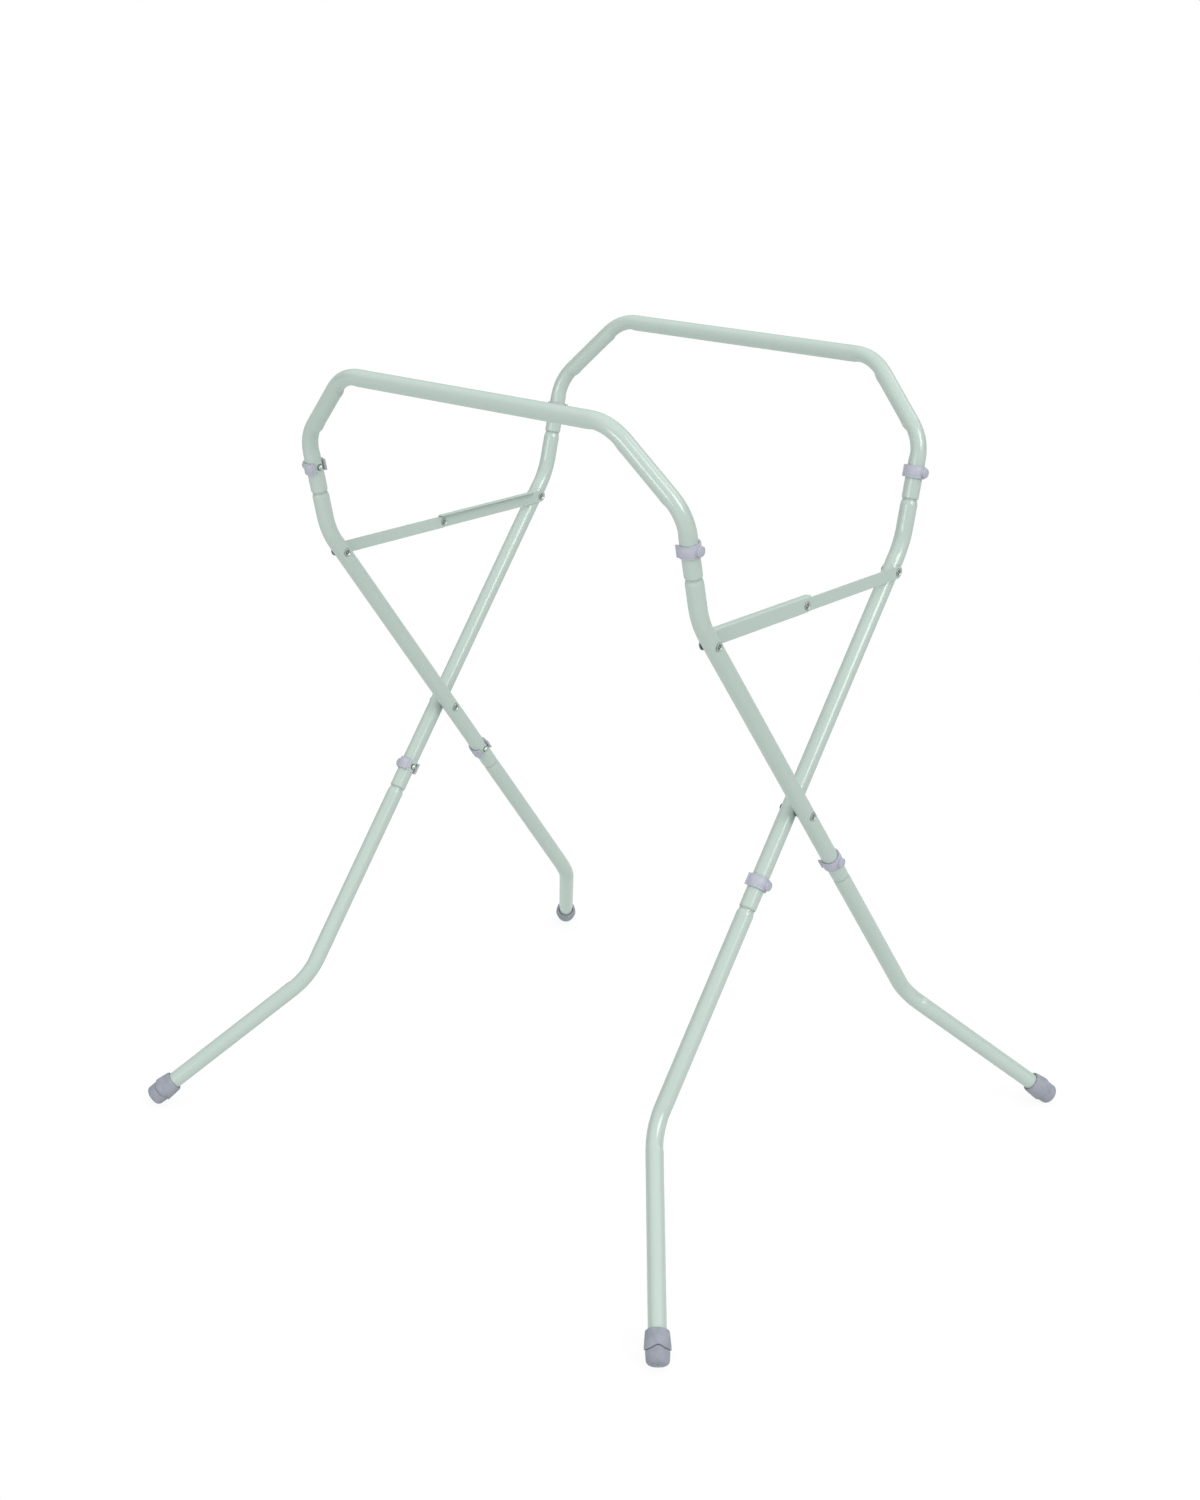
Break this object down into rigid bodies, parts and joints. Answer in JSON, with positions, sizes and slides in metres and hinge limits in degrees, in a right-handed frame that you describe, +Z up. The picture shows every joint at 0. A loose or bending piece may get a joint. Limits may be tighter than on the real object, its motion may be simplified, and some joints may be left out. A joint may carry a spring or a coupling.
{
  "type": "folding baby bath stand",
  "caption": "Folding X-frame stand of bent round tube with two raised top loops, hinged locking braces, spring clip joints and splayed rubber feet, made to carry a baby bath at waist height.",
  "frame": {"origin": "on the floor, under the middle of the open stand", "axes": "+Z up, X across the stand between the two top bars (bar A on -X), Y along the top bars; -Y is the front side in the picture"},
  "size_m": [0.795, 0.861, 0.962],
  "materials": {
    "tube_paint": "satin powder coat, pale sage green",
    "brace_paint": "satin powder coat, pale sage green",
    "clip_plastic": "moulded, lavender grey",
    "foot_rubber": "matt, mid grey",
    "pin_steel": "bright zinc plate",
    "rivet_steel": "zinc plate, slightly dull",
    "spacer_nylon": "natural nylon"
  },
  "bodies": {
    "frame_a": {"top_loop_a": "tube_paint", "middle_tube_a_front": "tube_paint", "middle_tube_a_back": "tube_paint", "lower_leg_a_front": "tube_paint", "lower_leg_a_back": "tube_paint", "foot_a_front": "foot_rubber", "foot_a_back": "foot_rubber", "cross_rivet_front": "rivet_steel", "cross_rivet_back": "rivet_steel", "cross_spacer_front": "spacer_nylon", "cross_spacer_back": "spacer_nylon", "brace_end_rivet_front": "rivet_steel", "brace_far_rivet_tail_back": "rivet_steel"},
    "frame_b": {"top_loop_b": "tube_paint", "middle_tube_b_front": "tube_paint", "middle_tube_b_back": "tube_paint", "lower_leg_b_front": "tube_paint", "lower_leg_b_back": "tube_paint", "foot_b_front": "foot_rubber", "foot_b_back": "foot_rubber", "brace_end_rivet_back": "rivet_steel", "brace_far_rivet_tail_front": "rivet_steel"},
    "front_channel_link": {"brace_channel_front": "brace_paint", "brace_mid_rivet_front": "rivet_steel"},
    "front_flat_link": {"brace_flat_front": "brace_paint", "brace_far_rivet_head_front": "rivet_steel"},
    "back_channel_link": {"brace_channel_back": "brace_paint", "brace_mid_rivet_back": "rivet_steel"},
    "back_flat_link": {"brace_flat_back": "brace_paint", "brace_far_rivet_head_back": "rivet_steel"},
    "upper_catch_a_front": {"upper_clip_a_front": "clip_plastic", "upper_pin_a_front": "pin_steel"},
    "lower_catch_a_front": {"lower_clip_a_front": "clip_plastic", "lower_pin_a_front": "pin_steel"},
    "upper_catch_a_back": {"upper_clip_a_back": "clip_plastic", "upper_pin_a_back": "pin_steel"},
    "lower_catch_a_back": {"lower_clip_a_back": "clip_plastic", "lower_pin_a_back": "pin_steel"},
    "upper_catch_b_front": {"upper_clip_b_front": "clip_plastic", "upper_pin_b_front": "pin_steel"},
    "lower_catch_b_front": {"lower_clip_b_front": "clip_plastic", "lower_pin_b_front": "pin_steel"},
    "upper_catch_b_back": {"upper_clip_b_back": "clip_plastic", "upper_pin_b_back": "pin_steel"},
    "lower_catch_b_back": {"lower_clip_b_back": "clip_plastic", "lower_pin_b_back": "pin_steel"}
  },
  "joints": [
    {"name": "fold", "type": "hinge", "parent": "frame_a", "child": "frame_b", "pos_m": [0, 0, 0.472], "axis": [0, -1, 0], "range_deg": [0, 54.8]},
    {"name": "front_channel_swing", "type": "hinge", "parent": "frame_a", "child": "front_channel_link", "pos_m": [-0.18854, -0.29065, 0.71682], "axis": [0, -1, 0], "range_deg": [0, 100.63]},
    {"name": "front_flat_swing", "type": "hinge", "parent": "front_channel_link", "child": "front_flat_link", "pos_m": [0, -0.29065, 0.71682], "axis": [0, 1, 0], "range_deg": [0, 146.36]},
    {"name": "back_channel_swing", "type": "hinge", "parent": "frame_b", "child": "back_channel_link", "pos_m": [0.18854, 0.29065, 0.71682], "axis": [0, 1, 0], "range_deg": [0, 100.63]},
    {"name": "back_flat_swing", "type": "hinge", "parent": "back_channel_link", "child": "back_flat_link", "pos_m": [0, 0.29065, 0.71682], "axis": [0, -1, 0], "range_deg": [0, 146.36]},
    {"name": "upper_pull_a_front", "type": "slide", "parent": "frame_a", "child": "upper_catch_a_front", "axis": [0, -1, 0], "range_m": [0, 0.0215], "stiffness_N_per_m": 150, "deforming": ["upper_clip_a_front"]},
    {"name": "lower_pull_a_front", "type": "slide", "parent": "frame_a", "child": "lower_catch_a_front", "axis": [0, -1, 0], "range_m": [0, 0.0215], "stiffness_N_per_m": 150, "deforming": ["lower_clip_a_front"]},
    {"name": "upper_pull_a_back", "type": "slide", "parent": "frame_a", "child": "upper_catch_a_back", "axis": [0, 1, 0], "range_m": [0, 0.0215], "stiffness_N_per_m": 150, "deforming": ["upper_clip_a_back"]},
    {"name": "lower_pull_a_back", "type": "slide", "parent": "frame_a", "child": "lower_catch_a_back", "axis": [0, 1, 0], "range_m": [0, 0.0215], "stiffness_N_per_m": 150, "deforming": ["lower_clip_a_back"]},
    {"name": "upper_pull_b_front", "type": "slide", "parent": "frame_b", "child": "upper_catch_b_front", "axis": [0, -1, 0], "range_m": [0, 0.0215], "stiffness_N_per_m": 150, "deforming": ["upper_clip_b_front"]},
    {"name": "lower_pull_b_front", "type": "slide", "parent": "frame_b", "child": "lower_catch_b_front", "axis": [0, -1, 0], "range_m": [0, 0.0215], "stiffness_N_per_m": 150, "deforming": ["lower_clip_b_front"]},
    {"name": "upper_pull_b_back", "type": "slide", "parent": "frame_b", "child": "upper_catch_b_back", "axis": [0, 1, 0], "range_m": [0, 0.0215], "stiffness_N_per_m": 150, "deforming": ["upper_clip_b_back"]},
    {"name": "lower_pull_b_back", "type": "slide", "parent": "frame_b", "child": "lower_catch_b_back", "axis": [0, 1, 0], "range_m": [0, 0.0215], "stiffness_N_per_m": 150, "deforming": ["lower_clip_b_back"]}
  ],
  "couplings": [
    {"joint": "front_channel_swing", "follows": "fold", "ratio": 1.8344},
    {"joint": "front_flat_swing", "follows": "fold", "ratio": 2.6689},
    {"joint": "back_channel_swing", "follows": "fold", "ratio": 1.8344},
    {"joint": "back_flat_swing", "follows": "fold", "ratio": 2.6689}
  ]
}
